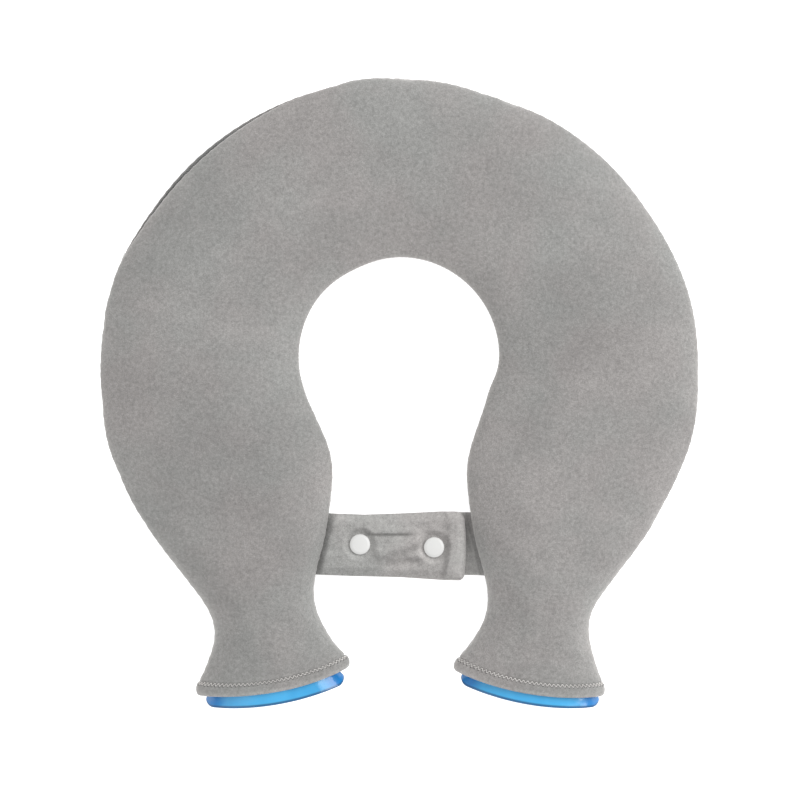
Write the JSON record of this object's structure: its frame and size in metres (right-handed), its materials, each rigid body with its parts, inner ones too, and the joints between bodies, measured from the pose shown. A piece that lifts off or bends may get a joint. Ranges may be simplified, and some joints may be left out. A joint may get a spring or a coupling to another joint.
{
  "type": "neck hot water pillow",
  "caption": "U-shaped water-filled neck pillow in a velvet cover, with flared filling mouths, screw stoppers, a snap strap and an edge zip.",
  "frame": {"origin": "centre of the bottom of the bounding box, on the surface the pillow lies on", "axes": "+Y from the two mouths towards the closed top of the U, +X to the right seen from the front panel, +Z out of the front panel"},
  "size_m": [0.3632, 0.38, 0.04],
  "materials": {
    "grey_velvet": "short-pile velvet",
    "blue_pvc": "translucent glossy",
    "bag_pvc": "soft translucent sheet",
    "white_plastic": "satin",
    "navy_plastic": "satin",
    "white_rubber": "matt",
    "grey_tape": "woven tape",
    "dark_coil": "moulded coil",
    "grey_slider": "painted die casting"
  },
  "bodies": {
    "pillow": {"cover_front": "grey_velvet", "cover_back": "grey_velvet", "bladder_front": "bag_pvc", "bladder_back": "bag_pvc", "left_funnel": "blue_pvc", "right_funnel": "blue_pvc", "left_threaded_insert": "white_plastic", "right_threaded_insert": "white_plastic", "zip_tape_front": "grey_tape", "zip_tape_back": "grey_tape", "zip_coil_front": "dark_coil", "zip_coil_back": "dark_coil", "zip_bottom_stop": "grey_slider", "zip_top_stop_front": "grey_slider", "zip_top_stop_back": "grey_slider"},
    "left_washer_body": {"left_washer": "white_rubber"},
    "right_washer_body": {"right_washer": "white_rubber"},
    "left_stopper_body": {"left_stopper": "navy_plastic"},
    "right_stopper_body": {"right_stopper": "navy_plastic"},
    "strap_upper_body": {"strap_upper": "grey_velvet", "snap_cap_left": "white_plastic", "snap_cap_right": "white_plastic", "snap_socket_left": "white_plastic", "snap_socket_right": "white_plastic"},
    "strap_lower_body": {"strap_lower": "grey_velvet", "snap_stud_left": "white_plastic", "snap_stud_right": "white_plastic", "snap_back_cap_left": "white_plastic", "snap_back_cap_right": "white_plastic"},
    "zip_slider_body": {"zip_slider": "grey_slider"},
    "zip_pull_tab_body": {"zip_pull_tab": "grey_slider"}
  },
  "joints": [
    {"name": "left_stopper_lift", "type": "slide", "parent": "pillow", "child": "left_washer_body", "axis": [0.1661, -0.9861, 0], "range_m": [0, 0.01]},
    {"name": "left_stopper_turn", "type": "hinge", "parent": "left_washer_body", "child": "left_stopper_body", "pos_m": [-0.0774, -0.17477, 0.02], "axis": [0.1661, -0.9861, 0], "range_deg": [0, 900]},
    {"name": "right_stopper_lift", "type": "slide", "parent": "pillow", "child": "right_washer_body", "axis": [-0.1661, -0.9861, 0], "range_m": [0, 0.01]},
    {"name": "right_stopper_turn", "type": "hinge", "parent": "right_washer_body", "child": "right_stopper_body", "pos_m": [0.0774, -0.17477, 0.02], "axis": [-0.1661, -0.9861, 0], "range_deg": [0, 900]},
    {"name": "strap_upper_fold", "type": "hinge", "parent": "pillow", "child": "strap_upper_body", "pos_m": [-0.04566, -0.09225, 0.0216], "axis": [-0.2291, -0.9734, 0], "range_deg": [0, 95]},
    {"name": "strap_lower_fold", "type": "hinge", "parent": "pillow", "child": "strap_lower_body", "pos_m": [0.04566, -0.09225, 0.0151], "axis": [0.2291, -0.9734, 0], "range_deg": [0, 60]},
    {"name": "zip_slide", "type": "hinge", "parent": "pillow", "child": "zip_slider_body", "pos_m": [0, 0.0085, 0.02], "axis": [0, 0, 1], "range_deg": [-53, 0]},
    {"name": "zip_pull_tab_swing", "type": "hinge", "parent": "zip_slider_body", "child": "zip_pull_tab_body", "pos_m": [-0.16988, 0.07139, 0.02089], "axis": [0.3214, -0.117, 0.9397], "range_deg": [0, 150]}
  ],
  "couplings": [
    {"joint": "left_stopper_turn", "follows": "left_stopper_lift", "rad_per_m": 1570.8},
    {"joint": "right_stopper_turn", "follows": "right_stopper_lift", "rad_per_m": 1570.8}
  ]
}
